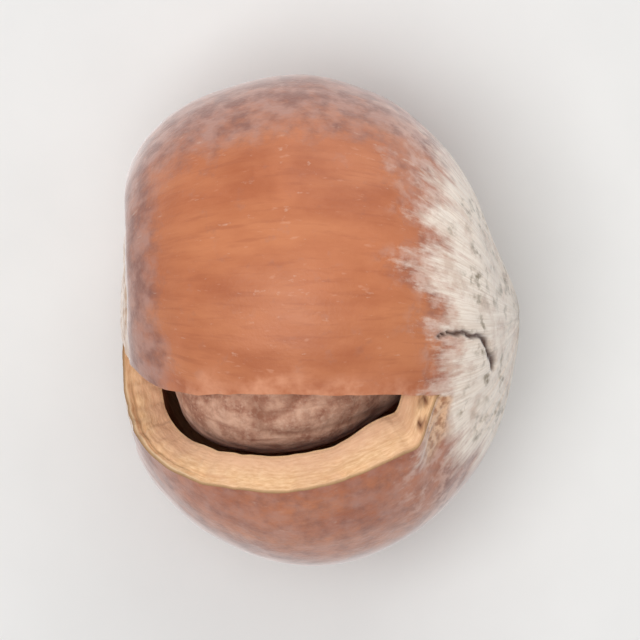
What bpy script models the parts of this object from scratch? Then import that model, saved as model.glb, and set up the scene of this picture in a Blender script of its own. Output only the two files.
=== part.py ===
"""A hazelnut in its cracked shell, lying on its side.

The nut's length runs along X, from the broad base at -X to the blunt tip at +X. The shell split when it
was roasted: the crack starts near the tip, runs along the upper side, crosses the base and ends under
the nut. The shell on the crack's -Y side has swung outward like a flap about a line under the nut. It
is still joined to the rest along that line and at the tip, so the shell is one piece. The kernel lies
loose inside and shows in the crack.

Lengths are in millimetres here and become metres when a mesh is made.
"""
import math

import bmesh
import bpy
from mathutils import Vector

METRES_PER_MM = 0.001

# Height of the nut and shell over their width, because the nut is a little flatter than it is wide.
HEIGHT_RATIO = 0.942
# The nut's length runs along this Y, and bends to TIP_Y at the tip.
AXIS_Y = 0.8
TIP_Y = -0.2
TIP_BEND_START_X = 3.0
TIP_X = 9.8

# Half outlines from the base to the tip, as (x, distance from the axis). The nut is lopsided, so its
# +Y side and its -Y side each have their own.
SHELL_OUTSIDE_PLUS = [(-9.8, 0), (-9.6, 2.6), (-9.35, 4.6), (-9.35, 6.1), (-8.2, 8.0), (-5.8, 9.8),
                      (-1.6, 10.85), (2.0, 10.2), (5.2, 8.5), (7.3, 6.35), (8.7, 3.35), (9.5, 1.5),
                      (TIP_X, 0)]
SHELL_OUTSIDE_MINUS = [(-9.8, 0), (-9.7, 2.4), (-9.4, 4.2), (-8.9, 5.7), (-7.9, 7.2), (-5.6, 9.2),
                       (-2.2, 10.6), (1.5, 11.0), (4.6, 10.2), (7.0, 8.15), (8.6, 5.6), (9.5, 2.6),
                       (TIP_X, 0)]
SHELL_INSIDE_PLUS = [(-8.0, 0), (-7.9, 3.2), (-7.3, 5.9), (-5.9, 7.9), (-3.8, 8.85), (-1.4, 9.15),
                     (1.2, 8.75), (3.6, 7.6), (5.6, 5.5), (6.9, 2.9), (7.5, 0)]
SHELL_INSIDE_MINUS = [(-8.0, 0), (-7.75, 2.8), (-7.0, 5.0), (-5.6, 7.1), (-3.6, 8.6), (-1.0, 9.15),
                      (1.6, 9.1), (4.0, 8.2), (6.0, 6.3), (7.1, 3.4), (7.5, 0)]
KERNEL_PLUS = [(-7.35, 0), (-7.2, 2.9), (-6.8, 5.5), (-5.3, 7.3), (-3.3, 8.1), (-1.2, 8.3), (1.0, 8.0),
               (3.2, 6.9), (5.0, 4.9), (6.2, 2.4), (6.6, 0)]
KERNEL_MINUS = [(-7.35, 0), (-7.35, 2.3), (-7.2, 4.0), (-6.75, 5.5), (-5.8, 6.7), (-4.2, 7.4),
                (-1.9, 7.5), (0.2, 7.15), (2.2, 6.2), (4.2, 4.8), (5.8, 2.7), (6.6, 0)]
KERNEL_HEIGHT = [(-7.35, 0), (-7.1, 1.0), (-6.4, 2.0), (-5.1, 3.85), (-3.2, 6.6), (-1.2, 7.9), (1.0, 7.8),
                 (3.2, 6.9), (5.0, 4.9), (6.2, 2.4), (6.6, 0)]

# Stations along the nut go from 0 at the base to 1 at the tip. The crack's upper edge runs along the nut
# at the first Y, and past the rise at the second, but no further round than an angle, which is wider at
# the base than from the limit station on. The break slants through the shell, so on the inside it lies
# nearer to the top.
CRACK_OUTSIDE_YS = (-4.0, -4.0)
CRACK_INSIDE_YS = (-2.45, -1.95)
CRACK_RISE_START_X = 0.6
CRACK_RISE_END_X = 3.0
CRACK_BASE_ANGLE = math.radians(155)
CRACK_LIMIT_ANGLE = math.radians(127)
CRACK_LIMIT_STATION = 0.2
CRACK_CORNER_BLEND = math.radians(8)
# The crack closes at this station, where the flap's edge bends up to the main part's edge over the
# bridge angle.
CRACK_END = 0.7
CRACK_TAPER = 0.05
CRACK_BRIDGE_ANGLE = math.radians(30)

# The line that the flap swings about lies under the nut. The crack runs straight across the middle of
# the base, curves down to that line, and reaches it at the station HINGE_START. From there on the shell
# bends over the bend angle.
HINGE_BASE_ANGLE = CRACK_BASE_ANGLE + math.pi
HINGE_ANGLE = math.radians(250)
HINGE_CURVE_STATION = 0.22
HINGE_Y = -3.0
HINGE_Z = -9.3
# The hinge line slants a little, so the flap moves this far towards the tip for each millimetre outward.
HINGE_SLANT = 0.05
HINGE_START = 0.3
HINGE_TAPER = 0.02
HINGE_BEND_ANGLE = math.radians(28)
FLAP_SWING = math.radians(15.2)
# The flap swings less and less from here to the tip.
SWING_FADE_START_X = -2.5
SWING_FADE_END_X = 9.6
SWING_FADE_POWER = 1.5
# It also swings a little less at the base.
BASE_SWING_LOSS = 0.05
BASE_SWING_START_X = -3.0
BASE_SWING_END_X = -9.0

# The nut lies on a small worn flat spot at this height.
FLAT_SPOT_Z = -9.9

KERNEL_AXIS_Y = 0.6
KERNEL_Z = -0.2
# The kernel is squarer than an ellipse on its -Y side, where it shows in the crack. That fades in from
# the base to this station, out to this share of the width, and up from this share of the height below.
KERNEL_SQUARENESS = 3.0
KERNEL_SQUARE_STATION = 0.4
KERNEL_SQUARE_ACROSS = 0.4
KERNEL_SQUARE_BELOW = 0.5

SHELL_ROWS = 30
MAIN_COLUMNS = 27
FLAP_COLUMNS = 17
KERNEL_ROWS = 18
KERNEL_COLUMNS = 28
CURVE_STEPS = 12
SHARP_EDGE_ANGLE = math.radians(35)

SHELL_COLOUR = (0.47, 0.19, 0.095, 1)
SHELL_ROUGHNESS = 0.5
KERNEL_COLOUR = (0.32, 0.18, 0.12, 1)
KERNEL_ROUGHNESS = 0.75


def ease(value):
    """Go smoothly from 0 to 1 as value goes from 0 to 1."""
    value = min(max(value, 0.0), 1.0)
    return value * value * (3 - 2 * value)


def spline_through(points):
    """Follow a smooth curve through (x, distance) points that meets the axis square at both ends."""
    knots = [Vector(point) for point in points]
    before = Vector((knots[1].x, -knots[1].y))
    after = Vector((knots[-2].x, -knots[-2].y))
    knots = [before] + knots + [after]
    curve = []
    for k in range(1, len(knots) - 2):
        start, end = knots[k], knots[k + 1]
        leave = (end - knots[k - 1]) / 2
        arrive = (knots[k + 2] - start) / 2
        for step in range(CURVE_STEPS):
            t = step / CURVE_STEPS
            curve.append(start * (2 * t**3 - 3 * t**2 + 1) + leave * (t**3 - 2 * t**2 + t)
                         + end * (3 * t**2 - 2 * t**3) + arrive * (t**3 - t**2))
    curve.append(knots[-2])
    return curve


def outline(points, rows):
    """Return rows + 1 points evenly spaced along the smooth curve through the points."""
    curve = spline_through(points)
    reach = [0.0]
    for start, end in zip(curve, curve[1:]):
        reach.append(reach[-1] + (end - start).length)
    evenly = []
    segment = 0
    for row in range(rows + 1):
        wanted = reach[-1] * row / rows
        while segment < len(curve) - 2 and reach[segment + 1] < wanted:
            segment += 1
        part = (wanted - reach[segment]) / (reach[segment + 1] - reach[segment])
        evenly.append(curve[segment].lerp(curve[segment + 1], part))
    return evenly


def axis_y(x):
    """Y of the nut's axis at x."""
    return AXIS_Y + (TIP_Y - AXIS_Y) * ease((x - TIP_BEND_START_X) / (TIP_X - TIP_BEND_START_X))


def shell_point(plus, minus, angle):
    """Point of the closed shell at an angle about its length, where 0 is +Y and 90 degrees is +Z."""
    x = minus.x + (plus.x - minus.x) * (1 + math.cos(angle)) / 2
    width = plus.y if math.cos(angle) > 0 else minus.y
    height = HEIGHT_RATIO * (plus.y + minus.y) / 2
    return Vector((x, axis_y(x) + width * math.cos(angle), height * math.sin(angle)))


def smooth_least(first, second, blend):
    """The lesser of two values, rounded off where they are within the blend of each other."""
    share = min(max(0.5 + 0.5 * (second - first) / blend, 0.0), 1.0)
    return second + (first - second) * share - blend * share * (1 - share)


def crack_angle(minus, station, crack_ys):
    """Angle at which an edge of the crack crosses a row."""
    risen = ease((minus.x - CRACK_RISE_START_X) / (CRACK_RISE_END_X - CRACK_RISE_START_X))
    offset = axis_y(minus.x) - crack_ys[0] - (crack_ys[1] - crack_ys[0]) * risen
    straight = math.acos(-min(offset / max(minus.y, METRES_PER_MM), 1.0))
    widening = 1 - ease(station / CRACK_LIMIT_STATION)
    limit = CRACK_LIMIT_ANGLE + (CRACK_BASE_ANGLE - CRACK_LIMIT_ANGLE) * widening
    return smooth_least(straight, limit, CRACK_CORNER_BLEND)


def hinge_angle(station):
    """Angle at which the flap's lower edge, or the line where it bends, crosses a row."""
    return HINGE_BASE_ANGLE + (HINGE_ANGLE - HINGE_BASE_ANGLE) * ease(station / HINGE_CURVE_STATION)


def swing_share(x, station, from_crack, from_hinge):
    """Share of the full swing that a point of the flap has, from its place and angles to both edges."""
    fade = (x - SWING_FADE_START_X) / (SWING_FADE_END_X - SWING_FADE_START_X)
    share = 1 - min(max(fade, 0.0), 1.0) ** SWING_FADE_POWER
    share -= BASE_SWING_LOSS * ease((x - BASE_SWING_START_X) / (BASE_SWING_END_X - BASE_SWING_START_X))
    bridged = ease((station - CRACK_END + CRACK_TAPER) / CRACK_TAPER)
    share *= 1 - bridged * (1 - ease(from_crack / CRACK_BRIDGE_ANGLE))
    joined = ease((station - HINGE_START + HINGE_TAPER) / HINGE_TAPER)
    share *= 1 - joined * (1 - ease(from_hinge / HINGE_BEND_ANGLE))
    return share


def swung(point, share):
    """Turn a point of the flap outward about the hinge line."""
    turn = FLAP_SWING * share
    y = point.y - HINGE_Y
    z = point.z - HINGE_Z
    return Vector((point.x + HINGE_SLANT * z * math.sin(turn),
                   HINGE_Y + y * math.cos(turn) - z * math.sin(turn),
                   HINGE_Z + z * math.cos(turn) + y * math.sin(turn)))


def shell_row(plus, minus, station, crack_ys):
    """Return one row of the shell: the main part's points, then the flap's, each edge to edge."""
    crack = crack_angle(minus, station, crack_ys)
    hinge = hinge_angle(station)
    main = []
    for column in range(MAIN_COLUMNS + 1):
        angle = crack + (hinge - 2 * math.pi - crack) * column / MAIN_COLUMNS
        main.append(shell_point(plus, minus, angle))
    flap = []
    for column in range(FLAP_COLUMNS + 1):
        angle = hinge + (crack - hinge) * column / FLAP_COLUMNS
        point = shell_point(plus, minus, angle)
        share = swing_share(point.x, station, angle - crack, hinge - angle)
        flap.append(swung(point, share))
    return main, flap


def make_layer(bm, plus_points, minus_points, crack_ys):
    """Make the vertices of one surface of the shell. Edges of the crack share them past its ends."""
    rows = []
    for plus, minus in zip(outline(plus_points, SHELL_ROWS), outline(minus_points, SHELL_ROWS)):
        at_base = not rows
        at_tip = len(rows) == SHELL_ROWS
        station = len(rows) / SHELL_ROWS
        main, flap = shell_row(plus, minus, station, crack_ys)
        if at_base:
            main_verts = [bm.verts.new(main[0])] * len(main)
            flap_verts = [bm.verts.new(flap[0])] * len(flap)
        elif at_tip:
            main_verts = [bm.verts.new(main[0])] * len(main)
            flap_verts = [main_verts[0]] * len(flap)
        else:
            main_verts = [bm.verts.new(point) for point in main]
            flap_verts = [bm.verts.new(point) for point in flap[1:-1]]
            flap_verts.insert(0, main_verts[-1] if station >= HINGE_START else bm.verts.new(flap[0]))
            flap_verts.append(main_verts[0] if station >= CRACK_END else bm.verts.new(flap[-1]))
        rows.append((main_verts, flap_verts))
    return rows


def add_face(bm, corners):
    """Make a face, leaving out a corner that repeats, as at the base and the tip."""
    distinct = list(dict.fromkeys(corners))
    if len(distinct) > 2:
        bm.faces.new(distinct)


def skin_layer(bm, rows):
    """Cover the main part and the flap of one surface with faces."""
    for (main, flap), (next_main, next_flap) in zip(rows, rows[1:]):
        for here, beyond in ((main, next_main), (flap, next_flap)):
            for c in range(len(here) - 1):
                add_face(bm, (here[c], here[c + 1], beyond[c + 1], beyond[c]))


def close_breaks(bm, outer, inner):
    """Join the two surfaces with the broken faces along both edges of the crack."""
    for row in range(SHELL_ROWS):
        for part in (0, 1):
            for edge in (0, -1):
                outside = outer[row][part][edge], outer[row + 1][part][edge]
                inside = inner[row][part][edge], inner[row + 1][part][edge]
                outside_edge = bm.edges.get(outside)
                if outside_edge and outside_edge.is_boundary:
                    add_face(bm, (outside[0], outside[1], inside[1], inside[0]))


def wear_flat(bm):
    """Flatten the small spot that the nut lies on."""
    for vert in bm.verts:
        vert.co.z = max(vert.co.z, FLAT_SPOT_Z)


def finish_mesh(name, bm, parent, material):
    """Turn the mesh into an object in metres, smooth except along its sharp edges."""
    bmesh.ops.recalc_face_normals(bm, faces=bm.faces[:])
    bmesh.ops.scale(bm, vec=(METRES_PER_MM,) * 3, verts=bm.verts[:])
    mesh = bpy.data.meshes.new(name)
    bm.to_mesh(mesh)
    bm.free()
    mesh.shade_smooth()
    mesh.set_sharp_from_angle(angle=SHARP_EDGE_ANGLE)
    mesh.materials.append(material)
    piece = bpy.data.objects.new(name, mesh)
    piece.parent = parent
    bpy.context.collection.objects.link(piece)
    return piece


def make_material(name, colour, roughness):
    """Make a plain surface of one colour."""
    material = bpy.data.materials.new(name)
    material.use_nodes = True
    surface = material.node_tree.nodes["Principled BSDF"]
    surface.inputs["Base Color"].default_value = colour
    surface.inputs["Roughness"].default_value = roughness
    surface.inputs["Metallic"].default_value = 0
    return material


def make_shell(parent):
    """Build the cracked woody shell."""
    bm = bmesh.new()
    outer = make_layer(bm, SHELL_OUTSIDE_PLUS, SHELL_OUTSIDE_MINUS, CRACK_OUTSIDE_YS)
    inner = make_layer(bm, SHELL_INSIDE_PLUS, SHELL_INSIDE_MINUS, CRACK_INSIDE_YS)
    skin_layer(bm, outer)
    skin_layer(bm, inner)
    close_breaks(bm, outer, inner)
    wear_flat(bm)
    return finish_mesh("shell", bm, parent, make_material("shell", SHELL_COLOUR, SHELL_ROUGHNESS))


def kernel_point(plus, minus, height, station, angle):
    """Point of the kernel at an angle about its length, squarer where it shows in the crack."""
    across, up = math.cos(angle), math.sin(angle)
    square = ease(station / KERNEL_SQUARE_STATION) * ease(-across / KERNEL_SQUARE_ACROSS)
    power = 2 + KERNEL_SQUARENESS * square * ease(1 + up / KERNEL_SQUARE_BELOW)
    stretch = (abs(across) ** power + abs(up) ** power) ** (-1 / power)
    x = minus.x + (plus.x - minus.x) * (1 + across) / 2
    width = plus.y if across > 0 else minus.y
    return Vector((x, KERNEL_AXIS_Y + width * across * stretch, KERNEL_Z + height.y * up * stretch))


def make_kernel(parent):
    """Build the kernel in its brown skin."""
    bm = bmesh.new()
    outlines = [outline(points, KERNEL_ROWS) for points in (KERNEL_PLUS, KERNEL_MINUS, KERNEL_HEIGHT)]
    angles = [2 * math.pi * column / KERNEL_COLUMNS for column in range(KERNEL_COLUMNS)]
    rows = []
    for section in zip(*outlines):
        station = len(rows) / KERNEL_ROWS
        if station in (0, 1):
            rows.append([bm.verts.new(kernel_point(*section, station, 0))] * KERNEL_COLUMNS)
        else:
            rows.append([bm.verts.new(kernel_point(*section, station, angle)) for angle in angles])
    for here, beyond in zip(rows, rows[1:]):
        for c in range(KERNEL_COLUMNS):
            add_face(bm, (here[c - 1], here[c], beyond[c], beyond[c - 1]))
    return finish_mesh("kernel", bm, parent, make_material("kernel", KERNEL_COLOUR, KERNEL_ROUGHNESS))


def stand_at_origin(holder, pieces):
    """Move the holder so that the origin is at the bottom centre of the box around the pieces."""
    corners = [vert.co for piece in pieces for vert in piece.data.vertices]
    low = Vector(min(corner[axis] for corner in corners) for axis in range(3))
    high = Vector(max(corner[axis] for corner in corners) for axis in range(3))
    holder.location = (-(low.x + high.x) / 2, -(low.y + high.y) / 2, -low.z)


def main():
    for old in list(bpy.data.objects):
        bpy.data.objects.remove(old)
    holder = bpy.data.objects.new("nut", None)
    bpy.context.collection.objects.link(holder)
    pieces = [make_shell(holder), make_kernel(holder)]
    stand_at_origin(holder, pieces)


main()
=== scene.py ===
"""Looks of a hazelnut in its cracked shell, lying on its side on a pale floor.

The shell and the kernel are rebuilt here as fine meshes on the same outlines as the CAD solids that they
stand for, with the relief of the real surfaces: the scar at the base, the down round the tip, torn and
broken wood, and the kernel's wrinkled skin. Each mesh carries values that say where its surface is scar,
down and so on, and the materials read them. Lengths are in millimetres until a mesh is made.
"""
import itertools
import math

import bpy
import numpy as np
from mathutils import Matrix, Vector


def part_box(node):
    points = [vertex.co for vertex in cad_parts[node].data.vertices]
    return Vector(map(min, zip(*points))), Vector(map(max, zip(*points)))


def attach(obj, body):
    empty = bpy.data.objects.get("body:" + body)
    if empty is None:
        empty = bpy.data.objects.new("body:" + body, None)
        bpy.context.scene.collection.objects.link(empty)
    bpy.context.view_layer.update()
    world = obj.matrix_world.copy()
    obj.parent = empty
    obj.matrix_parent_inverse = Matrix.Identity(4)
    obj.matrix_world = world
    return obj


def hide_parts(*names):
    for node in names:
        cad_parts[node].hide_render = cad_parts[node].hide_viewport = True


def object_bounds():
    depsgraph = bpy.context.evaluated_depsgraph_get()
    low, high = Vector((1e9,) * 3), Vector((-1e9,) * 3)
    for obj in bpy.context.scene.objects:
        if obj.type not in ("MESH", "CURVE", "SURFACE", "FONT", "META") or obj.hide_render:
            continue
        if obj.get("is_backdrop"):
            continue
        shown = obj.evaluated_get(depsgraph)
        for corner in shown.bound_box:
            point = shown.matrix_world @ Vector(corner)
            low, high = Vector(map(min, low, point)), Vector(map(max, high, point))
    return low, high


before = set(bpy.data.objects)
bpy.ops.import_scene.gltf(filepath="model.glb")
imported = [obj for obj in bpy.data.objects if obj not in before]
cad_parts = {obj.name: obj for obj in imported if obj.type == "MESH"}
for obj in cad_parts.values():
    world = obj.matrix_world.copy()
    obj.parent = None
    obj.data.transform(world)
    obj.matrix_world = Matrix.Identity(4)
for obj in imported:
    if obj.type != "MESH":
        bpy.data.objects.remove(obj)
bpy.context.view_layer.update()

METRES_PER_MM = 0.001
LEAST_WIDTH = 0.001
LEAST_LENGTH = 1e-9

# The nut's form, as in the CAD: +X is the tip, -X the base, and the crack is on the -Y side of the top.
HEIGHT_RATIO = 0.942
AXIS_Y = 0.8
TIP_Y = -0.2
TIP_BEND_START_X = 3.0
TIP_X = 9.8
SHELL_OUTSIDE_PLUS = [(-9.8, 0), (-9.6, 2.6), (-9.35, 4.6), (-9.35, 6.1), (-8.2, 8.0), (-5.8, 9.8),
                      (-1.6, 10.85), (2.0, 10.2), (5.2, 8.5), (7.3, 6.35), (8.7, 3.35), (9.5, 1.5),
                      (TIP_X, 0)]
SHELL_OUTSIDE_MINUS = [(-9.8, 0), (-9.7, 2.4), (-9.4, 4.2), (-8.9, 5.7), (-7.9, 7.2), (-5.6, 9.2),
                       (-2.2, 10.6), (1.5, 11.0), (4.6, 10.2), (7.0, 8.15), (8.6, 5.6), (9.5, 2.6),
                       (TIP_X, 0)]
SHELL_INSIDE_PLUS = [(-8.0, 0), (-7.9, 3.2), (-7.3, 5.9), (-5.9, 7.9), (-3.8, 8.85), (-1.4, 9.15),
                     (1.2, 8.75), (3.6, 7.6), (5.6, 5.5), (6.9, 2.9), (7.5, 0)]
SHELL_INSIDE_MINUS = [(-8.0, 0), (-7.75, 2.8), (-7.0, 5.0), (-5.6, 7.1), (-3.6, 8.6), (-1.0, 9.15),
                      (1.6, 9.1), (4.0, 8.2), (6.0, 6.3), (7.1, 3.4), (7.5, 0)]
KERNEL_PLUS = [(-7.35, 0), (-7.2, 2.9), (-6.8, 5.5), (-5.3, 7.3), (-3.3, 8.1), (-1.2, 8.3), (1.0, 8.0),
               (3.2, 6.9), (5.0, 4.9), (6.2, 2.4), (6.6, 0)]
KERNEL_MINUS = [(-7.35, 0), (-7.35, 2.3), (-7.2, 4.0), (-6.75, 5.5), (-5.8, 6.7), (-4.2, 7.4),
                (-1.9, 7.5), (0.2, 7.15), (2.2, 6.2), (4.2, 4.8), (5.8, 2.7), (6.6, 0)]
KERNEL_HEIGHT = [(-7.35, 0), (-7.1, 1.0), (-6.4, 2.0), (-5.1, 3.85), (-3.2, 6.6), (-1.2, 7.9), (1.0, 7.8),
                 (3.2, 6.9), (5.0, 4.9), (6.2, 2.4), (6.6, 0)]
KERNEL_AXIS_Y = 0.6
KERNEL_Z = -0.2
KERNEL_SQUARENESS = 3.0
KERNEL_SQUARE_STATION = 0.4
KERNEL_SQUARE_ACROSS = 0.4
KERNEL_SQUARE_BELOW = 0.5
FLAT_SPOT_Z = -9.9

# The crack, and the line that the shell's lower side has swung out about, as in the CAD. Stations along
# the nut go from 0 at the base to 1 at the tip.
CRACK_OUTSIDE_YS = (-4.0, -4.0)
CRACK_INSIDE_YS = (-2.45, -1.95)
CRACK_RISE_START_X = 0.6
CRACK_RISE_END_X = 3.0
CRACK_BASE_ANGLE = math.radians(155)
CRACK_LIMIT_ANGLE = math.radians(127)
CRACK_LIMIT_STATION = 0.2
CRACK_CORNER_BLEND = math.radians(8)
CRACK_END = 0.7
CRACK_TAPER = 0.05
CRACK_BRIDGE_ANGLE = math.radians(30)
HINGE_BASE_ANGLE = CRACK_BASE_ANGLE + math.pi
HINGE_ANGLE = math.radians(250)
HINGE_CURVE_STATION = 0.22
HINGE_Y = -3.0
HINGE_Z = -9.3
HINGE_SLANT = 0.05
HINGE_START = 0.3
HINGE_TAPER = 0.02
HINGE_BEND_ANGLE = math.radians(28)
FLAP_SWING = math.radians(15.2)
SWING_FADE_START_X = -2.5
SWING_FADE_END_X = 9.6
SWING_FADE_POWER = 1.5
BASE_SWING_LOSS = 0.05
BASE_SWING_START_X = -3.0
BASE_SWING_END_X = -9.0

# The nut and its kernel without their relief are about this big each way from their middles.
HALF_SIZES = np.array((9.8, 11.0, 10.3))
KERNEL_HALF_SIZES = np.array((7.3, 8.0, 8.0))
DRUM_RADIUS = 10.0
NUT_LENGTH_ALONG_SURFACE = 31.0

# How finely each surface is made.
SHELL_ROWS = 200
OUTSIDE_MAIN_COLUMNS = 210
OUTSIDE_FLAP_COLUMNS = 130
INSIDE_MAIN_COLUMNS = 50
INSIDE_FLAP_COLUMNS = 50
BREAK_COLUMNS = 14
CRACK_END_ROW = round(CRACK_END * SHELL_ROWS)
HINGE_START_ROW = round(HINGE_START * SHELL_ROWS)
KERNEL_ROWS = 150
KERNEL_COLUMNS = 240
CURVE_STEPS = 24

NOISE_CELLS = 32
NOISE_TABLE = np.random.default_rng(11).uniform(-1, 1, (NOISE_CELLS,) * 3)
NOISE_LAYER_STEP = 7.3


# ---- Curves, noise and forms -------------------------------------------------------------------------

def ease(value):
    """Go smoothly from 0 to 1 as value goes from 0 to 1."""
    value = np.clip(value, 0.0, 1.0)
    return value * value * (3 - 2 * value)


def noise(points, size):
    """Smooth noise from -1 to 1, whose lumps have these sizes along each axis."""
    scaled = np.asarray(points, float) / size
    cell = np.floor(scaled).astype(int)
    part = ease(scaled - cell)
    total = 0.0
    for corner in itertools.product((0, 1), repeat=3):
        weight = np.prod(np.where(corner, part, 1 - part), axis=-1)
        place = (cell + corner) % NOISE_CELLS
        total = total + weight * NOISE_TABLE[place[..., 0], place[..., 1], place[..., 2]]
    return total


def layered_noise(points, size, layers=3):
    """Noise with finer and weaker noise on top."""
    size = np.asarray(size, float)
    total = 0.0
    for layer in range(layers):
        total = total + noise(points + NOISE_LAYER_STEP * layer, size / 2**layer) / 2**layer
    return total


def line_noise(distance, size, line):
    """Noise along a numbered line."""
    distance = np.asarray(distance, float)
    return noise(np.stack([distance, 0 * distance + line + 0.5, 0 * distance], -1), (size, 1, 1))


def outline(points, rows):
    """Return rows + 1 points evenly spaced along the smooth curve through (x, distance) points."""
    knots = np.array(points, float)
    mirror = np.array((1, -1))
    knots = np.vstack([knots[1] * mirror, knots, knots[-2] * mirror])
    t = np.arange(CURVE_STEPS)[:, None] / CURVE_STEPS
    curve = []
    for before, start, end, after in zip(knots, knots[1:], knots[2:], knots[3:]):
        leave, arrive = (end - before) / 2, (after - start) / 2
        curve.append(start * (2 * t**3 - 3 * t**2 + 1) + leave * (t**3 - 2 * t**2 + t)
                     + end * (3 * t**2 - 2 * t**3) + arrive * (t**3 - t**2))
    curve = np.vstack(curve + [knots[-2:-1]])
    reach = np.concatenate([[0], np.cumsum(np.linalg.norm(np.diff(curve, axis=0), axis=1))])
    wanted = np.linspace(0, reach[-1], rows + 1)
    return np.stack([np.interp(wanted, reach, curve[:, axis]) for axis in (0, 1)], -1)


def axis_y(x):
    """Y of the nut's axis at x."""
    return AXIS_Y + (TIP_Y - AXIS_Y) * ease((x - TIP_BEND_START_X) / (TIP_X - TIP_BEND_START_X))


def shell_points(plus, minus, angle):
    """Points of the closed shell at angles about its length, where 0 is +Y and 90 degrees is +Z."""
    across, up = np.cos(angle), np.sin(angle)
    x = minus[:, :1] + (plus[:, :1] - minus[:, :1]) * (1 + across) / 2
    width = np.where(across > 0, plus[:, 1:], minus[:, 1:])
    height = HEIGHT_RATIO * (plus[:, 1:] + minus[:, 1:]) / 2
    return np.stack([x, axis_y(x) + width * across, height * up], -1)


def smooth_least(first, second, blend):
    """The lesser of two values, rounded off where they are within the blend of each other."""
    share = np.clip(0.5 + 0.5 * (second - first) / blend, 0.0, 1.0)
    return second + (first - second) * share - blend * share * (1 - share)


def crack_angles(minus, station, crack_ys):
    """Angle at which an edge of the crack crosses each row."""
    risen = ease((minus[:, :1] - CRACK_RISE_START_X) / (CRACK_RISE_END_X - CRACK_RISE_START_X))
    offset = axis_y(minus[:, :1]) - crack_ys[0] - (crack_ys[1] - crack_ys[0]) * risen
    straight = np.arccos(-np.minimum(offset / np.maximum(minus[:, 1:], LEAST_WIDTH), 1.0))
    widening = 1 - ease(station / CRACK_LIMIT_STATION)
    limit = CRACK_LIMIT_ANGLE + (CRACK_BASE_ANGLE - CRACK_LIMIT_ANGLE) * widening
    return smooth_least(straight, limit, CRACK_CORNER_BLEND)


def hinge_angles(station):
    """Angle at which the flap's lower edge, or the line where it bends, crosses each row."""
    return HINGE_BASE_ANGLE + (HINGE_ANGLE - HINGE_BASE_ANGLE) * ease(station / HINGE_CURVE_STATION)


def swing_share(x, station, from_crack, from_hinge):
    """Share of the full swing that points of the flap have, as in the CAD."""
    fade = (x - SWING_FADE_START_X) / (SWING_FADE_END_X - SWING_FADE_START_X)
    share = 1 - np.clip(fade, 0.0, 1.0) ** SWING_FADE_POWER
    near_base = (x - BASE_SWING_START_X) / (BASE_SWING_END_X - BASE_SWING_START_X)
    share = share - BASE_SWING_LOSS * ease(near_base)
    bridged = ease((station - CRACK_END + CRACK_TAPER) / CRACK_TAPER)
    share = share * (1 - bridged * (1 - ease(from_crack / CRACK_BRIDGE_ANGLE)))
    joined = ease((station - HINGE_START + HINGE_TAPER) / HINGE_TAPER)
    return share * (1 - joined * (1 - ease(from_hinge / HINGE_BEND_ANGLE)))


def swung(points, share):
    """Turn points of the flap outward about the hinge line."""
    turn = FLAP_SWING * share
    y = points[..., 1] - HINGE_Y
    z = points[..., 2] - HINGE_Z
    return np.stack([points[..., 0] + HINGE_SLANT * z * np.sin(turn),
                     HINGE_Y + y * np.cos(turn) - z * np.sin(turn),
                     HINGE_Z + z * np.cos(turn) + y * np.sin(turn)], -1)


def outward(points, middle=(0, AXIS_Y, 0), half_sizes=HALF_SIZES):
    """Direction square to the surface of a long round body."""
    away = (points - np.array(middle)) / np.square(half_sizes)
    return away / np.linalg.norm(away, axis=-1, keepdims=True)


def drum(points, angle):
    """Unroll places on the nut to a drum, on which the shell's grain runs along the first axis."""
    angle = np.broadcast_to(angle, points.shape[:-1])
    return np.stack([points[..., 0], DRUM_RADIUS * np.cos(angle), DRUM_RADIUS * np.sin(angle)], -1)


# ---- Meshes ------------------------------------------------------------------------------------------

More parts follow.
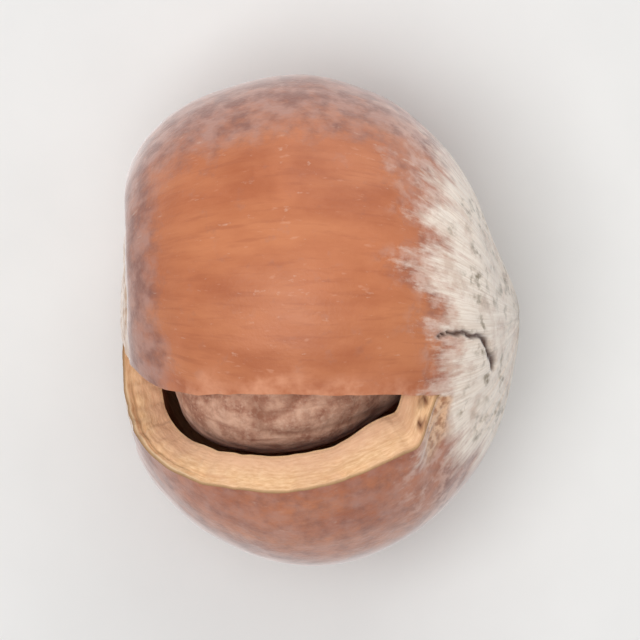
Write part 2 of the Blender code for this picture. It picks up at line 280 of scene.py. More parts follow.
class MeshMaker:
    """Collects vertices with their values, and faces, and makes one object of them."""

    def __init__(self, value_names):
        self.value_names = value_names
        self.points = []
        self.drums = []
        self.values = {name: [] for name in value_names}
        self.count = 0
        self.faces = []
        self.face_materials = []

    def add(self, points, drum_points, **values):
        """Add a block of vertices, each with its named values, and return their numbers."""
        size = points.size // 3
        self.points.append(points.reshape(size, 3))
        self.drums.append(np.broadcast_to(drum_points, points.shape).reshape(size, 3))
        for name in self.value_names:
            value = np.broadcast_to(values.get(name, 0.0), points.shape[:-1])
            self.values[name].append(value.reshape(size))
        self.count += size
        return np.arange(self.count - size, self.count).reshape(points.shape[:-1])

    def cover(self, grid, material):
        """Cover a grid of vertex numbers with faces, leaving out corners that repeat."""
        corners = np.stack([grid[:-1, :-1], grid[1:, :-1], grid[1:, 1:], grid[:-1, 1:]], -1)
        for face in corners.reshape(-1, 4).tolist():
            distinct = list(dict.fromkeys(face))
            if len(distinct) > 2:
                self.faces.append(distinct)
                self.face_materials.append(material)

    def drop_unused(self):
        """Leave out vertices that no face uses, such as the repeats at the base and the tip."""
        points = np.vstack(self.points)
        used = np.zeros(len(points), bool)
        used[[corner for face in self.faces for corner in face]] = True
        number = np.cumsum(used) - 1
        faces = [[int(number[corner]) for corner in face] for face in self.faces]
        return used, points[used], faces

    def make(self, name, offset, materials):
        """Make the object in metres, smooth but for the edges between two materials."""
        used, points, faces = self.drop_unused()
        mesh = bpy.data.meshes.new(name)
        mesh.from_pydata(((points + offset) * METRES_PER_MM).tolist(), [], faces)
        for material in materials:
            mesh.materials.append(material)
        mesh.polygons.foreach_set("material_index", self.face_materials)
        mesh.shade_smooth()
        self.mark_sharp(mesh)
        place = mesh.attributes.new("grain", "FLOAT_VECTOR", "POINT")
        place.data.foreach_set("vector", np.vstack(self.drums)[used].astype(np.float32).ravel())
        for value_name in self.value_names:
            value = mesh.attributes.new(value_name, "FLOAT", "POINT")
            value.data.foreach_set("value", np.concatenate(self.values[value_name])[used].astype(np.float32))
        piece = bpy.data.objects.new(name, mesh)
        bpy.context.collection.objects.link(piece)
        return piece

    def mark_sharp(self, mesh):
        """Mark the edges between two materials as sharp."""
        edge_of_corner = np.zeros(len(mesh.loops), int)
        mesh.loops.foreach_get("edge_index", edge_of_corner)
        sizes = np.array([len(face) for face in self.faces])
        material = np.repeat(np.array(self.face_materials), sizes)
        least = np.full(len(mesh.edges), len(self.faces))
        most = np.full(len(mesh.edges), -1)
        np.minimum.at(least, edge_of_corner, material)
        np.maximum.at(most, edge_of_corner, material)
        sharp = mesh.attributes.new("sharp_edge", "BOOLEAN", "EDGE")
        sharp.data.foreach_set("value", least != most)


# ---- Shell -------------------------------------------------------------------------------------------

SKIN, BREAK, LINING = range(3)
MAIN, FLAP = range(2)

# Below, stations are shares of the way from the base to the tip, and all lengths are in millimetres.

# The matte scar round the base, with its scalloped border.
SCAR_STATION = 0.172
SCAR_TILT = 0.028
SCAR_WANDER = 0.008
SCAR_FADE = 0.006
SCAR_STEP = 0.09
SCALLOPS = 26
SCALLOP_DEPTH = 0.006

# The down round the tip starts nearer to the tip low on the flap and on the side away from the crack.
DOWN_STATION = 0.605
DOWN_FADE = 0.17
LOW_DOWN_Y = -3.5
LOW_DOWN_FADE = 4.0
LOW_DOWN_SHIFT = 0.1
HIGH_DOWN_Y = 4.0
HIGH_DOWN_FADE = 3.0
HIGH_DOWN_SHIFT = 0.04
FRINGE_STATION = 0.6
FRINGE_FADE = 0.08
THIN_DOWN = 0.03

# The dull bloom, partly real and partly painted sheen, lies below a height on the sides, thins out on the
# underside, and lies round the scar.
SIDE_HEIGHT = 7.6
SIDE_FADE = 3.4
UNDERSIDE_HEIGHT = 2.0
UNDERSIDE_FADE = 5.0
BASE_STATION = 0.285
BASE_FADE = 0.07
FRINGE_DUST = 0.6
# On the flap the bloom is partly painted shade.
FLAP_BLOOM_AND_SHADE = 0.58

# A painted lit band along the crack's upper edge, and torn wood on the flap next to the crack's end.
LIT_BAND_WIDTH = 1.5
LIT_BAND_END_FADE = 0.05
TORN_START_STATION = 0.655
TORN_END_STATION = 0.725
TORN_FADE = 0.02
TORN_ANGLE = math.radians(13)
TORN_ANGLE_FADE = math.radians(5)

# How far the crack and the hinge line wander about their plain course.
CRACK_WANDER = 0.09
HINGE_WANDER = 0.3
LEAST_RADIUS = 0.5

# A fine crack in the surface near the tip, through (x, y) points seen from above, and small torn pits, as
# (x, y, radius).
TIP_CRACK = [(5.8, -1.15), (6.8, -1.0), (7.5, -1.1), (8.0, -1.3), (8.3, -2.0), (8.4, -2.8)]
TIP_CRACK_HALF_WIDTH = 0.13
TIP_CRACK_EDGE = 1.4
TIP_CRACK_WANDER = 0.12
TIP_CRACK_DEPTH = 0.22
PITS = [(5.0, -4.25, 0.3), (4.9, -5.4, 0.32)]
PIT_WANDER = 0.08
PIT_DEPTH = 0.4

# The broken face has a lip near the outside and a groove below it, deepest along part of its length.
LAYERS_START = 1.0
LAYERS_START_FADE = 1.5
LAYERS_END = 12.0
LAYERS_END_FADE = 3.0
LAYERS_LEAST = 0.3
LAYERS_WANDER = 0.05
LAYER_HALF_WIDTH = 0.1
LIP_PLACE = 0.14
LIP_HEIGHT = 0.14
GROOVE_PLACE = 0.4
GROOVE_DEPTH = 0.13
BREAK_EDGE_SHARE = 0.08
BREAK_BASE_FADE = 0.5
BREAK_END_FADE = 0.4


class Surface:
    """One closed surface of the shell, unswung, as a main part and a flap."""

    def __init__(self, plus_outline, minus_outline, crack_ys, main_columns, flap_columns):
        plus = outline(plus_outline, SHELL_ROWS)
        minus = outline(minus_outline, SHELL_ROWS)
        self.station = np.linspace(0, 1, SHELL_ROWS + 1)[:, None]
        along = self.station[:, 0] * NUT_LENGTH_ALONG_SURFACE
        radius = np.maximum(minus[:, 1:], LEAST_RADIUS)
        wander = CRACK_WANDER * (line_noise(along, 1.7, 1) + 0.5 * line_noise(along, 0.5, 2))[:, None]
        crack = crack_angles(minus, self.station, crack_ys) + wander / radius
        wander = HINGE_WANDER * (line_noise(along, 1.9, 5) + 0.5 * line_noise(along, 0.6, 6))[:, None]
        settled = 1 - ease(self.station / HINGE_START)
        hinge = hinge_angles(self.station) + settled * wander / radius
        main_angle = crack + (hinge - 2 * math.pi - crack) * np.linspace(0, 1, main_columns + 1)
        flap_angle = hinge + (crack - hinge) * np.linspace(0, 1, flap_columns + 1)
        self.angles = (main_angle, flap_angle)
        self.points = tuple(shell_points(plus, minus, angle) for angle in self.angles)
        share = swing_share(self.points[FLAP][..., 0], self.station, flap_angle - crack, hinge - flap_angle)
        self.shares = (0 * main_angle, share)
        self.from_crack = (crack - main_angle, flap_angle - crack)


def distance_to_line(points, line):
    """Distance in plan from points to a line through (x, y) points."""
    plan = points[..., :2]
    nearest = np.full(plan.shape[:-1], np.inf)
    for start, end in zip(np.array(line), np.array(line[1:])):
        step = end - start
        share = np.clip(((plan - start) @ step) / (step @ step), 0, 1)
        nearest = np.minimum(nearest, np.linalg.norm(plan - start - share[..., None] * step, axis=-1))
    return nearest


def scar_share(place, angle, station):
    """Where the skin is scar."""
    scallop = SCALLOP_DEPTH * np.abs(np.sin(angle * SCALLOPS / 2))
    border = SCAR_STATION - SCAR_TILT * np.sin(angle) + scallop + SCAR_WANDER * noise(place, (9, 2.5, 2.5))
    return ease((border - station) / SCAR_FADE)


def down_share(points, patchy_station):
    """Where the skin is under down."""
    low = ease((LOW_DOWN_Y - points[..., 1]) / LOW_DOWN_FADE) * ease(points[..., 2] / LOW_DOWN_FADE + 0.5)
    high = ease((points[..., 1] - HIGH_DOWN_Y) / HIGH_DOWN_FADE)
    start = DOWN_STATION + LOW_DOWN_SHIFT * low + HIGH_DOWN_SHIFT * high
    return ease((patchy_station - start) / DOWN_FADE)


def bloom_and_painted_light_share(points, place, station, fringe, is_flap):
    """Where the skin is dull with bloom, which on the sides is partly painted sheen and on the flap partly
    painted shade.
    """
    height = points[..., 2] + 1.5 * noise(points, 4.5) + 0.7 * layered_noise(points, 1.7, 2)
    under = ease((UNDERSIDE_HEIGHT - height) / UNDERSIDE_FADE)
    side = ease((SIDE_HEIGHT - height) / SIDE_FADE) * (1 - 0.5 * under)
    base = ease((BASE_STATION + 0.02 * noise(place, (9, 1.5, 1.5)) - station) / BASE_FADE)
    dust = np.maximum(np.maximum(side, base), FRINGE_DUST * fringe)
    return np.maximum(dust, FLAP_BLOOM_AND_SHADE) if is_flap else dust


def torn_share(points, station, from_crack):
    """Where the flap's skin is torn off."""
    near = ease((TORN_ANGLE - from_crack + 0.05 * noise(points, 0.8)) / TORN_ANGLE_FADE)
    started = ease((station - TORN_START_STATION) / TORN_FADE)
    ended = ease((station - TORN_END_STATION - 0.01 * noise(points, 0.7)) / TORN_FADE + 1)
    return near * started * (1 - ended)


def tip_crack_share(points):
    """Where the skin is in the fine crack near the tip."""
    wandering = points + TIP_CRACK_WANDER * noise(points, 0.6)[..., None]
    away = distance_to_line(wandering, TIP_CRACK) / TIP_CRACK_HALF_WIDTH
    return (points[..., 2] > 0) * ease(TIP_CRACK_EDGE - away)


def lit_band_share(place, station, from_crack):
    """Where a band of painted light lies along the crack's upper edge."""
    width = LIT_BAND_WIDTH * (1 + 0.5 * noise(place, (1.3, 1, 1)))
    near = ease((width - DRUM_RADIUS * from_crack) / LIT_BAND_WIDTH)
    return near * (station > HINGE_START) * ease((CRACK_END - station) / LIT_BAND_END_FADE)


def skin_values(points, place, angle, station, from_crack, is_flap):
    """Work out what the skin is like at each point. Each value goes from 0 to 1."""
    patches = 0.045 * layered_noise(place, (3.4, 1.6, 1.6), 2) + 0.02 * noise(place, (7, 0.7, 0.7))
    fringe = ease((station + patches - FRINGE_STATION) / FRINGE_FADE)
    return {"scar": scar_share(place, angle, station),
            "down": down_share(points, station + patches),
            "fringe": fringe,
            "dust": bloom_and_painted_light_share(points, place, station, fringe, is_flap),
            "torn": is_flap * torn_share(points, station, from_crack),
            "worn": (not is_flap) * lit_band_share(place, station, from_crack),
            "dark": tip_crack_share(points)}


def pit_depths(points):
    """Depth of the torn pits at points of the swung shell, from 0 to 1."""
    depth = 0.0
    for x, y, radius in PITS:
        distance = np.linalg.norm(points[..., :2] - (x, y), axis=-1) + PIT_WANDER * noise(points, 0.35)
        depth = depth + ease((radius - distance) / (0.6 * radius)) * (points[..., 2] > 0)
    return np.clip(depth, 0, 1)


def skin_relief(points, place, values):
    """Height of the outside above the plain form."""
    relief = 0.1 * noise(points, 5.0) + 0.04 * noise(points, 1.9)
    smooth = 1 - np.maximum(values["scar"], values["torn"])
    relief += smooth * (0.012 * layered_noise(place, (9, 0.9, 0.9), 2) + 0.012 * noise(points, 0.8))
    relief += values["down"] * (0.035 * layered_noise(place, (1.3, 0.35, 0.35), 2) + THIN_DOWN)
    relief += values["scar"] * (0.05 * layered_noise(points, 0.5, 2) + 0.05 * noise(points, 1.5) - SCAR_STEP)
    relief += values["torn"] * (0.07 * layered_noise(points, (0.9, 0.35, 0.35), 2) - 0.04)
    relief -= TIP_CRACK_DEPTH * values["dark"]
    return relief


def add_surface(maker, surface, is_outside):
    """Add the vertices of one surface. Edges of the crack share them past its ends, as in the CAD."""
    grids = []
    for part in (MAIN, FLAP):
        points, angle = surface.points[part], surface.angles[part]
        place = drum(points, angle)
        values = {}
        if is_outside:
            values = skin_values(points, place, angle, surface.station, surface.from_crack[part],
                                 part == FLAP)
            relief = skin_relief(points, place, values)
        else:
            relief = 0.06 * noise(points, 2.5) + 0.02 * noise(place, (5, 0.6, 0.6))
        moved = swung(points + outward(points) * relief[..., None], surface.shares[part])
        if is_outside:
            pits = pit_depths(moved)
            moved[..., 2] -= PIT_DEPTH * pits
            # The pits get painted shade, as the fine crack does.
            values["dark"] = np.maximum(values["dark"], pits)
        grids.append(maker.add(moved, place, **values))
    main, flap = grids
    main[0] = main[0, 0]
    main[-1] = main[-1, 0]
    flap[0] = flap[0, 0]
    flap[-1] = main[-1, 0]
    flap[HINGE_START_ROW:, 0] = main[HINGE_START_ROW:, -1]
    flap[CRACK_END_ROW:, -1] = main[CRACK_END_ROW:, 0]
    return main, flap


def break_layers(along, depth):
    """How far the broken face has a lip and a groove, each from 0 to 1."""
    started = ease((along - LAYERS_START) / LAYERS_START_FADE)
    ended = 1 - ease((LAYERS_END - along) / LAYERS_END_FADE)
    parted = LAYERS_LEAST + (1 - LAYERS_LEAST) * started * (1 - ended)
    wander = LAYERS_WANDER * line_noise(along, 0.9, 9)
    lip = np.exp(-((depth - LIP_PLACE - wander) / LAYER_HALF_WIDTH) ** 2)
    groove = np.exp(-((depth - GROOVE_PLACE - wander) / LAYER_HALF_WIDTH) ** 2)
    return parted * lip, parted * groove


def break_relief(along, depth, lip, groove):
    """Height of the broken face above a plain one: fibres and layers."""
    place = np.stack([along + 0 * depth, depth + 0 * along, 0 * along * depth], -1)
    fibres = 0.07 * layered_noise(place, (0.7, 0.35, 1), 3) + 0.05 * noise(place, (0.25, 1.2, 1))
    return fibres + LIP_HEIGHT * lip - GROOVE_DEPTH * groove


def upward(along_step, across_step):
    """Directions square to a strip that runs these ways, on its upper side."""
    square = np.cross(along_step, across_step)
    square /= np.linalg.norm(square, axis=-1, keepdims=True) + LEAST_LENGTH
    return square * np.sign(square[:, 2:])


def add_break(maker, outside, inside, strip):
    """Add the vertices of the broken face between two rows of vertex numbers, with its own grain."""
    points = np.vstack(maker.points)
    start, end = points[outside], points[inside]
    across = np.linspace(0, 1, BREAK_COLUMNS + 1)
    plain = start[:, None] + (end - start)[:, None] * across[None, :, None]
    along = np.concatenate([[0], np.cumsum(np.linalg.norm(np.diff(start, axis=0), axis=1))])[:, None]
    depth = across * np.linalg.norm(end - start, axis=-1)[:, None]
    lip, groove = break_layers(along, depth)
    held = ease(across / BREAK_EDGE_SHARE) * ease((1 - across) / BREAK_EDGE_SHARE)
    ends = ease(along / BREAK_BASE_FADE) * ease((along[-1] - along) / BREAK_END_FADE)
    relief = break_relief(along, depth, lip, groove) * held * ends
    square = upward(np.gradient(start, axis=0), end - start)
    moved = plain + square[:, None] * relief[..., None]
    pits = pit_depths(moved) * held
    moved[..., 2] -= PIT_DEPTH * pits
    place = np.stack([along + 0 * depth, depth, 0 * depth + strip], -1)
    # The pits on the broken face get painted shade.
    grid = maker.add(moved, place, across=across, lip=lip, groove=groove, dark=pits)
    grid[:, 0], grid[:, -1] = outside, inside
    return grid


def cover_breaks(maker, outer, inner):
    """Cover the crack's four broken faces. Each meets another one at the base and one at its far end."""
    shared = {}
    for part, edge, last_row, far_end in ((MAIN, 0, CRACK_END_ROW, "crack end"),
                                          (FLAP, -1, CRACK_END_ROW, "crack end"),
                                          (MAIN, -1, HINGE_START_ROW, "hinge start"),
                                          (FLAP, 0, HINGE_START_ROW, "hinge start")):
        rows = slice(0, last_row + 1)
        grid = add_break(maker, outer[part][rows, edge], inner[part][rows, edge], 3 * part + edge)
        for row, place in ((0, (part, "base")), (last_row, far_end)):
            grid[row, 1:-1] = shared.setdefault(place, grid[row, 1:-1].copy())
        maker.cover(grid if edge == -1 else grid[:, ::-1], BREAK)


def shell_mesh(materials):
    """Make the cracked woody shell, and return it with the step from these outlines to its place."""
    outside = Surface(SHELL_OUTSIDE_PLUS, SHELL_OUTSIDE_MINUS, CRACK_OUTSIDE_YS,
                      OUTSIDE_MAIN_COLUMNS, OUTSIDE_FLAP_COLUMNS)
    inside = Surface(SHELL_INSIDE_PLUS, SHELL_INSIDE_MINUS, CRACK_INSIDE_YS,
                     INSIDE_MAIN_COLUMNS, INSIDE_FLAP_COLUMNS)
    maker = MeshMaker(("scar", "down", "fringe", "dust", "torn", "worn", "dark", "across", "lip", "groove"))
    outer = add_surface(maker, outside, True)
    inner = add_surface(maker, inside, False)
    for part in (MAIN, FLAP):
        maker.cover(outer[part], SKIN)
        maker.cover(inner[part][:, ::-1], LINING)
    cover_breaks(maker, outer, inner)
    for block in maker.points:
        block[:, 2] = np.maximum(block[:, 2], FLAT_SPOT_Z)
    plain = np.vstack([swung(surface_points, share).reshape(-1, 3)
                       for surface_points, share in zip(outside.points, outside.shares)])
    low, high = plain.min(axis=0), plain.max(axis=0)
    low[2] = FLAT_SPOT_Z
    cad_low, cad_high = (np.array(corner) / METRES_PER_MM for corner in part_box("shell"))
    offset = (cad_low + cad_high - low - high) / 2
    offset[2] = cad_low[2] - low[2]
    return maker.make("hazel_shell", offset, materials), offset


# ---- Kernel ------------------------------------------------------------------------------------------

FOLD_DEPTH = 0.12


def kernel_mesh(offset, materials):
    """Make the kernel in its wrinkled brown skin."""
    plus, minus, height = (outline(points, KERNEL_ROWS)
                           for points in (KERNEL_PLUS, KERNEL_MINUS, KERNEL_HEIGHT))
    station = np.linspace(0, 1, KERNEL_ROWS + 1)[:, None]
    angle = np.linspace(0, 2 * math.pi, KERNEL_COLUMNS + 1)[None]
    across, up = np.cos(angle), np.sin(angle)
    square = ease(station / KERNEL_SQUARE_STATION) * ease(-across / KERNEL_SQUARE_ACROSS)
    power = 2 + KERNEL_SQUARENESS * square * ease(1 + up / KERNEL_SQUARE_BELOW)
    stretch = (np.abs(across) ** power + np.abs(up) ** power) ** (-1 / power)
    x = minus[:, :1] + (plus[:, :1] - minus[:, :1]) * (1 + across) / 2
    width = np.where(across > 0, plus[:, 1:], minus[:, 1:])
    points = np.stack([x, KERNEL_AXIS_Y + width * across * stretch,
                       KERNEL_Z + height[:, 1:] * up * stretch], -1)
    place = drum(points, angle)
    folds = 1 - np.abs(noise(place + 0.6 * noise(place, 2.0)[..., None], (5.0, 1.5, 1.5)))
    relief = 0.05 * noise(points, 2.2) - FOLD_DEPTH * folds**6 + 0.045 * layered_noise(points, 0.7, 2) - 0.02
    away = outward(points, (0, KERNEL_AXIS_Y, KERNEL_Z), KERNEL_HALF_SIZES)
    moved = points + away * relief[..., None]
    maker = MeshMaker(("fold",))
    grid = maker.add(moved, place, fold=folds)
    grid[:, -1] = grid[:, 0]
    grid[0] = grid[0, 0]
    grid[-1] = grid[-1, 0]
    maker.cover(grid[:, ::-1], 0)
    return maker.make("hazel_kernel", offset, materials)


# ---- Materials ---------------------------------------------------------------------------------------

SHEEN_ROUGHNESS = 0.4


class Shader:
    """A material's nodes, made by short calls."""

    def __init__(self, name):
        self.material = bpy.data.materials.new(name)
        self.material.use_nodes = True
        self.tree = self.material.node_tree
        self.surface = self.tree.nodes["Principled BSDF"]

    def node(self, kind, inputs=(), **settings):
        """Add a node, with its settings and its inputs, each a value or another node's output."""
        made = self.tree.nodes.new(kind)
        for name, value in settings.items():
            setattr(made, name, value)
        for key, value in dict(inputs).items():
            self.put(made.inputs[key], value)
        return made

    def put(self, socket, value):
        """Set an input, or link it if the value is another node's output."""
        if isinstance(value, bpy.types.NodeSocket):
            self.tree.links.new(value, socket)
        else:
            socket.default_value = value

    def value(self, name):
        """One of the mesh's own values."""
        return self.node("ShaderNodeAttribute", attribute_name=name).outputs["Fac"]

    def grain(self, size):
        """The grain's coordinates, divided by the size along each axis in millimetres."""
        place = self.node("ShaderNodeAttribute", attribute_name="grain").outputs["Vector"]
        return self.node("ShaderNodeVectorMath", {0: place, 1: [1 / s for s in size]},
                         operation="MULTIPLY").outputs[0]

    def object_place(self, size):
        """The object's coordinates, divided by the size in millimetres."""
        place = self.node("ShaderNodeTexCoord").outputs["Object"]
        return self.node("ShaderNodeVectorMath", {0: place, 1: [1 / (size * METRES_PER_MM)] * 3},
                         operation="MULTIPLY").outputs[0]

    def noise(self, place, detail=3.0, roughness=0.55):
        """Noise from 0 to 1."""
        return self.node("ShaderNodeTexNoise", {"Vector": place, "Scale": 1.0, "Detail": detail,
                                                "Roughness": roughness}).outputs[0]

    def spread(self, value, low, high, to_low=0.0, to_high=1.0):
        """Map a value from one range to another, within its ends."""
        return self.node("ShaderNodeMapRange", {0: value, 1: low, 2: high, 3: to_low, 4: to_high}).outputs[0]

    def maths(self, operation, first, second=0.0):
        """One sum of two values."""
        return self.node("ShaderNodeMath", {0: first, 1: second}, operation=operation).outputs[0]

    def mix(self, share, first, second):
        """Mix two colours."""
        made = self.node("ShaderNodeMix", data_type="RGBA")
        self.put(made.inputs[0], share)
        self.put(made.inputs[6], first)
        self.put(made.inputs[7], second)
        return made.outputs[2]

    def bump(self, height, distance_mm, strength=1.0, normal=None):
        """Small relief from a height between 0 and 1."""
        made = self.node("ShaderNodeBump", {"Height": height, "Distance": distance_mm * METRES_PER_MM,
                                            "Strength": strength})
        if normal:
            self.put(made.inputs["Normal"], normal)
        return made.outputs["Normal"]

    def finish(self, colour, roughness, normal=None, sheen=0.0, specular=0.5):
        """Set what the surface shows."""
        self.put(self.surface.inputs["Base Color"], colour)
        self.put(self.surface.inputs["Roughness"], roughness)
        self.surface.inputs["Sheen Weight"].default_value = sheen
        self.surface.inputs["Sheen Roughness"].default_value = SHEEN_ROUGHNESS
        self.surface.inputs["Specular IOR Level"].default_value = specular
        if normal:
            self.put(self.surface.inputs["Normal"], normal)
        return self.material


def rgb(red, green, blue):
    """A colour given as on a screen, from 0 to 255, as a shader takes it."""
    def linear(level):
        """One channel of it, without the screen's curve."""
        level /= 255
        return level / 12.92 if level <= 0.04045 else ((level + 0.055) / 1.055) ** 2.4
    return (linear(red), linear(green), linear(blue), 1)


# Colours of the shell's skin, bloom (partly painted sheen and shade), painted lit band, down, scar and torn
# wood, painted shade in its cracks and pits, of its broken wood and lining, and of the kernel, with painted
# shade in its folds, and the floor.
SKIN_DEEP = rgb(178, 100, 62)
SKIN_LIGHT = rgb(200, 124, 82)
SKIN_PATCH = rgb(200, 122, 82)
SKIN_STREAK = rgb(158, 84, 54)
SKIN_FLECK = rgb(226, 168, 140)
# Painted light along the crack's upper edge.
SKIN_LIT_BAND = rgb(224, 154, 118)
# The bloom's colours stand partly for painted sheen on the sides and painted shade on the flap.
BLOOM_AND_PAINTED_LIGHT_DEEP = rgb(136, 92, 82)
BLOOM_AND_PAINTED_LIGHT_PALE = rgb(178, 134, 121)
FRINGE_SPOT = rgb(208, 164, 146)
DOWN_PALE = rgb(255, 240, 225)
DOWN_PATCH = rgb(220, 194, 177)
DOWN_STRAND = rgb(210, 184, 162)
DOWN_BARE_OLIVE = rgb(142, 124, 98)
SCAR_DEEP = rgb(176, 132, 98)
SCAR_PALE = rgb(216, 176, 140)
SCAR_PATCH = rgb(166, 122, 92)
SCAR_BORDER = rgb(108, 70, 52)
TORN_DEEP = rgb(176, 122, 86)
TORN_PALE = rgb(232, 186, 148)
# Painted shade in the fine crack and the pits.
CRACK_SHADE = rgb(92, 60, 46)
WOOD_TAN = rgb(222, 174, 128)
WOOD_PALE = rgb(246, 204, 160)
WOOD_LAYER = rgb(204, 152, 108)
WOOD_PATCH = rgb(228, 178, 146)
WOOD_INNER_PINK = rgb(226, 174, 144)
WOOD_INNER_EDGE = rgb(150, 96, 70)
WOOD_OUTER_EDGE = rgb(140, 104, 62)
WOOD_GROOVE = rgb(158, 112, 72)
WOOD_LIP = rgb(252, 222, 182)
WOOD_PIT_SHADE = rgb(110, 68, 48)
LINING_DEEP = rgb(190, 134, 100)
LINING_PALE = rgb(216, 166, 128)
LINING_FLECK = rgb(150, 98, 70)
KERNEL_DEEP = rgb(164, 112, 90)
KERNEL_PALE = rgb(222, 176, 150)
KERNEL_SCUFF = rgb(226, 186, 162)
KERNEL_VEIN = rgb(146, 94, 74)
KERNEL_FOLD_SHADE = rgb(138, 90, 68)
FLOOR_SHADE = rgb(232, 231, 229)
FLOOR_LIGHT = rgb(235, 234, 232)


def streaked_skin(s, fine):
    """Brown skin with wide and fine streaks along the nut."""
    wide = s.noise(s.grain((5, 1.8, 1.8)), 4)
    patch = s.noise(s.object_place(2.6), 4)
    flecks = s.noise(s.grain((0.8, 0.3, 0.3)), 2)
    colour = s.mix(s.spread(wide, 0.36, 0.64), SKIN_DEEP, SKIN_LIGHT)
    colour = s.mix(s.spread(patch, 0.46, 0.66, 0, 0.6), colour, SKIN_PATCH)
    colour = s.mix(s.spread(fine, 0.54, 0.7, 0, 0.3), colour, SKIN_STREAK)
    return s.mix(s.spread(flecks, 0.66, 0.74, 0, 0.25), colour, SKIN_FLECK)


def lay_bloom_and_painted_light(s, colour, dust):
    """Lay the dull bloom, partly painted sheen and shade, over a colour, and a painted lit band along the
    crack.
    """
    bloom_and_light = s.mix(s.spread(s.noise(s.object_place(1.0), 4), 0.4, 0.6), BLOOM_AND_PAINTED_LIGHT_DEEP, BLOOM_AND_PAINTED_LIGHT_PALE)
    colour = s.mix(s.spread(dust, 0.15, 1.0, 0, 0.85), colour, bloom_and_light)
    # A band of painted light along the crack's upper edge.
    worn = s.maths("MULTIPLY", s.value("worn"), s.spread(s.noise(s.object_place(0.8), 3), 0.3, 0.7))
    return s.mix(worn, colour, SKIN_LIT_BAND)


def lay_down(s, colour):
    """Lay the pale down over a colour, with its bare olive flecks."""
    hairs = s.noise(s.grain((0.7, 0.35, 0.35)), 5, 0.65)
    cover = s.maths("ADD", s.value("down"), s.spread(hairs, 0.25, 0.75, -0.4, 0.25))
    patch = s.noise(s.object_place(1.3), 4, 0.6)
    pale = s.mix(s.spread(patch, 0.5, 0.66, 0, 0.8), DOWN_PALE, DOWN_PATCH)
    strands = s.noise(s.grain((1.3, 0.13, 0.13)), 3)
    pale = s.mix(s.spread(strands, 0.42, 0.62, 0, 0.4), pale, DOWN_STRAND)
    flecks = s.spread(s.noise(s.object_place(0.6), 4, 0.6), 0.5, 0.7)
    deep = s.spread(s.value("down"), 0.9, 1.0)
    bare = s.maths("MULTIPLY", flecks, s.spread(s.noise(s.object_place(2.4), 2), 0.4, 0.55))
    pale = s.mix(s.maths("MULTIPLY", bare, deep), pale, DOWN_BARE_OLIVE)
    return s.mix(s.spread(cover, 0.1, 0.75), colour, pale)


def lay_fringe(s, colour):
    """Lay the scattered spots of the down's border over a colour."""
    spots = s.spread(s.noise(s.object_place(0.9), 4, 0.6), 0.48, 0.62, 0, 0.8)
    return s.mix(s.maths("MULTIPLY", s.value("fringe"), spots), colour, FRINGE_SPOT)


def lay_scar(s, colour):
    """Lay the matte scar over a colour."""
    grains = s.noise(s.object_place(0.35), 4, 0.7)
    patch = s.noise(s.object_place(2.2), 3)
    tan = s.mix(s.spread(grains, 0.35, 0.65), SCAR_DEEP, SCAR_PALE)
    tan = s.mix(s.spread(patch, 0.5, 0.7, 0, 0.5), tan, SCAR_PATCH)
    scar = s.value("scar")
    border = s.maths("MULTIPLY", s.spread(scar, 0.02, 0.45), s.spread(scar, 0.99, 0.75))
    colour = s.mix(scar, colour, tan)
    return s.mix(border, colour, SCAR_BORDER)


def lay_torn(s, colour):
    """Lay the torn wood over a colour, with painted shade in the fine crack and the pits."""
    torn = s.mix(s.spread(s.noise(s.object_place(0.35), 3), 0.4, 0.6), TORN_DEEP, TORN_PALE)
    colour = s.mix(s.value("torn"), colour, torn)
    return s.mix(s.value("dark"), colour, CRACK_SHADE)


def skin_roughness(s, dust):
    """Glossy on bare skin, duller under bloom, and matte on the scar, the down and torn wood."""
    matte = s.maths("MAXIMUM", s.value("scar"), s.maths("MAXIMUM", s.value("down"), s.value("torn")))
    gloss = s.spread(s.noise(s.grain((2, 0.5, 0.5)), 3), 0.3, 0.7, 0.42, 0.54)
    dull = s.spread(dust, 0.2, 0.9, 0.0, 0.25)
    return s.maths("ADD", gloss, s.maths("MAXIMUM", dull, s.maths("MULTIPLY", matte, 0.4)))


def skin_normal(s, fine):
    """Fine streaks, strands of down and a faint tooth."""
    tooth = s.bump(s.noise(s.object_place(0.18), 3), 0.05, 0.35)
    strands = s.maths("MULTIPLY", s.value("down"), s.noise(s.grain((1.3, 0.13, 0.13)), 3))
    return s.bump(s.maths("ADD", s.maths("MULTIPLY", fine, 0.12), strands), 0.12, 0.5, tooth)


def skin_material():
    """Glossy softly streaked outside, with its dusty sides that are partly painted sheen, a painted lit
    band, scar, down and torn wood.
    """
    s = Shader("shell_skin")
    fine = s.noise(s.grain((2.2, 0.3, 0.3)), 3)
    bloom_and_light_noise = s.noise(s.object_place(0.8), 5, 0.65)
    dust = s.maths("ADD", s.value("dust"), s.spread(bloom_and_light_noise, 0.3, 0.7, -0.35, 0.35))
    colour = lay_bloom_and_painted_light(s, streaked_skin(s, fine), dust)
    colour = lay_down(s, lay_fringe(s, colour))
    colour = lay_torn(s, lay_scar(s, colour))
    return s.finish(colour, skin_roughness(s, dust), skin_normal(s, fine), sheen=0.8, specular=0.35)


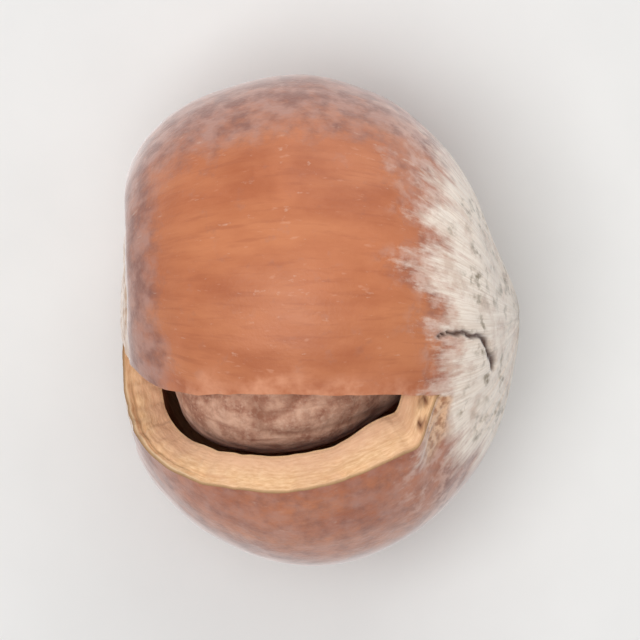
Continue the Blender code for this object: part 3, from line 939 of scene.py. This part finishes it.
def break_material():
    """Pale broken wood with a thin dark line at the outside and pinker towards the inside."""
    s = Shader("shell_break")
    across = s.value("across")
    fibres = s.noise(s.grain((0.5, 0.12, 1)), 4, 0.6)
    layers = s.noise(s.grain((5, 0.22, 1)), 3)
    patch = s.noise(s.object_place(1.6), 3)
    colour = s.mix(s.spread(fibres, 0.35, 0.65), WOOD_TAN, WOOD_PALE)
    colour = s.mix(s.spread(layers, 0.5, 0.66, 0, 0.6), colour, WOOD_LAYER)
    colour = s.mix(s.spread(patch, 0.5, 0.72, 0, 0.4), colour, WOOD_PATCH)
    colour = s.mix(s.spread(across, 0.35, 0.75, 0, 0.5), colour, WOOD_INNER_PINK)
    colour = s.mix(s.spread(across, 0.88, 1.0, 0, 0.5), colour, WOOD_INNER_EDGE)
    colour = s.mix(s.spread(s.value("groove"), 0.5, 1.0, 0, 0.6), colour, WOOD_GROOVE)
    colour = s.mix(s.spread(s.value("lip"), 0.4, 1.0, 0, 0.7), colour, WOOD_LIP)
    colour = s.mix(s.spread(across, 0.0, 0.08, 0.8, 0), colour, WOOD_OUTER_EDGE)
    # Painted shade in the pits.
    colour = s.mix(s.value("dark"), colour, WOOD_PIT_SHADE)
    normal = s.bump(fibres, 0.06, 0.6)
    return s.finish(colour, 0.8, normal, sheen=0.05, specular=0.3)


def lining_material():
    """Brown papery inside of the shell."""
    s = Shader("shell_lining")
    streaks = s.noise(s.grain((5, 0.7, 0.7)), 4)
    colour = s.mix(s.spread(streaks, 0.35, 0.65), LINING_DEEP, LINING_PALE)
    flecks = s.noise(s.object_place(0.5), 4, 0.6)
    colour = s.mix(s.spread(flecks, 0.58, 0.7, 0, 0.6), colour, LINING_FLECK)
    return s.finish(colour, 0.6, s.bump(streaks, 0.08, 0.5), specular=0.35)


def kernel_material():
    """Matte brown skin with painted shade in its folds, and with pale scuffed flecks."""
    s = Shader("kernel_skin")
    mottle = s.noise(s.object_place(1.1), 5, 0.6)
    fine = s.noise(s.object_place(0.28), 4, 0.65)
    colour = s.mix(s.spread(mottle, 0.38, 0.6), KERNEL_DEEP, KERNEL_PALE)
    colour = s.mix(s.spread(fine, 0.5, 0.66, 0, 0.5), colour, KERNEL_SCUFF)
    veins = s.noise(s.grain((3.0, 0.5, 0.5)), 3)
    colour = s.mix(s.spread(veins, 0.52, 0.68, 0, 0.6), colour, KERNEL_VEIN)
    # Painted shade in the folds.
    colour = s.mix(s.spread(s.value("fold"), 0.86, 1.0, 0, 0.6), colour, KERNEL_FOLD_SHADE)
    normal = s.bump(fine, 0.06, 0.7)
    return s.finish(colour, 0.75, normal, sheen=0.08, specular=0.25)


def floor_material():
    """Matte pale surface with a faint tooth."""
    s = Shader("floor_paint")
    tooth = s.noise(s.object_place(6), 3)
    colour = s.mix(s.spread(tooth, 0.3, 0.7), FLOOR_SHADE, FLOOR_LIGHT)
    return s.finish(colour, 0.9, specular=0.2)


# ---- Scene -------------------------------------------------------------------------------------------

# The staging's sizes and places are in metres.
CAMERA_HEIGHT = 0.25
VIEW_WIDTH = 0.0315
NEAREST_SEEN = 0.01
SENSOR_WIDTH_MM = 36.0
FLOOR_SIZE = 4.0
FLOOR_CELLS = 8
LAMP_AIM = (0, 0, 0.01)
KEY_PLACE = (-0.06, -0.03, 0.28)
KEY_SIZE = 0.16
KEY_WATTS = 0.46
FILL_PLACE = (0.05, 0.24, 0.14)
FILL_SIZE = 0.2
FILL_WATTS = 0.26
SURROUND_COLOUR = (0.96, 0.98, 1.0, 1)
SURROUND_STRENGTH = 0.42


def make_floor():
    """Lay a pale floor under the nut."""
    bpy.ops.mesh.primitive_grid_add(x_subdivisions=FLOOR_CELLS, y_subdivisions=FLOOR_CELLS,
                                    size=FLOOR_SIZE)
    floor = bpy.context.object
    floor.name = "floor"
    floor.data.materials.append(floor_material())
    floor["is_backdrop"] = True


def make_camera():
    """Look straight down on the nut."""
    low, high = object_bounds()
    middle = (low + high) / 2
    camera = bpy.data.objects.new("camera", bpy.data.cameras.new("camera"))
    bpy.context.collection.objects.link(camera)
    camera.location = (middle.x, middle.y, middle.z + CAMERA_HEIGHT)
    camera.data.sensor_width = SENSOR_WIDTH_MM
    camera.data.lens = SENSOR_WIDTH_MM * CAMERA_HEIGHT / VIEW_WIDTH
    camera.data.clip_start = NEAREST_SEEN
    bpy.context.scene.camera = camera


def make_lamp(name, place, size, watts):
    """Hang one soft square lamp that points at the nut."""
    data = bpy.data.lights.new(name, "AREA")
    data.shape = "SQUARE"
    data.size = size
    data.energy = watts
    lamp = bpy.data.objects.new(name, data)
    bpy.context.collection.objects.link(lamp)
    lamp.location = place
    lamp.rotation_euler = (Vector(LAMP_AIM) - Vector(place)).to_track_quat("-Z", "Y").to_euler()


def make_lights():
    """Light the nut softly from above, a little from the lower left, with an even white surround."""
    make_lamp("key", KEY_PLACE, KEY_SIZE, KEY_WATTS)
    make_lamp("fill", FILL_PLACE, FILL_SIZE, FILL_WATTS)
    world = bpy.data.worlds.new("surround")
    world.use_nodes = True
    background = world.node_tree.nodes["Background"]
    background.inputs["Color"].default_value = SURROUND_COLOUR
    background.inputs["Strength"].default_value = SURROUND_STRENGTH
    bpy.context.scene.world = world
    bpy.context.scene.view_settings.view_transform = "Standard"


def main():
    """Make the nut and its surroundings, hiding the CAD piece that each mesh stands for."""
    shell, offset = shell_mesh([skin_material(), break_material(), lining_material()])
    kernel = kernel_mesh(offset, [kernel_material()])
    for piece, node in ((shell, "shell"), (kernel, "kernel")):
        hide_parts(node)
        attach(piece, "root")
    make_floor()
    make_camera()
    make_lights()


main()
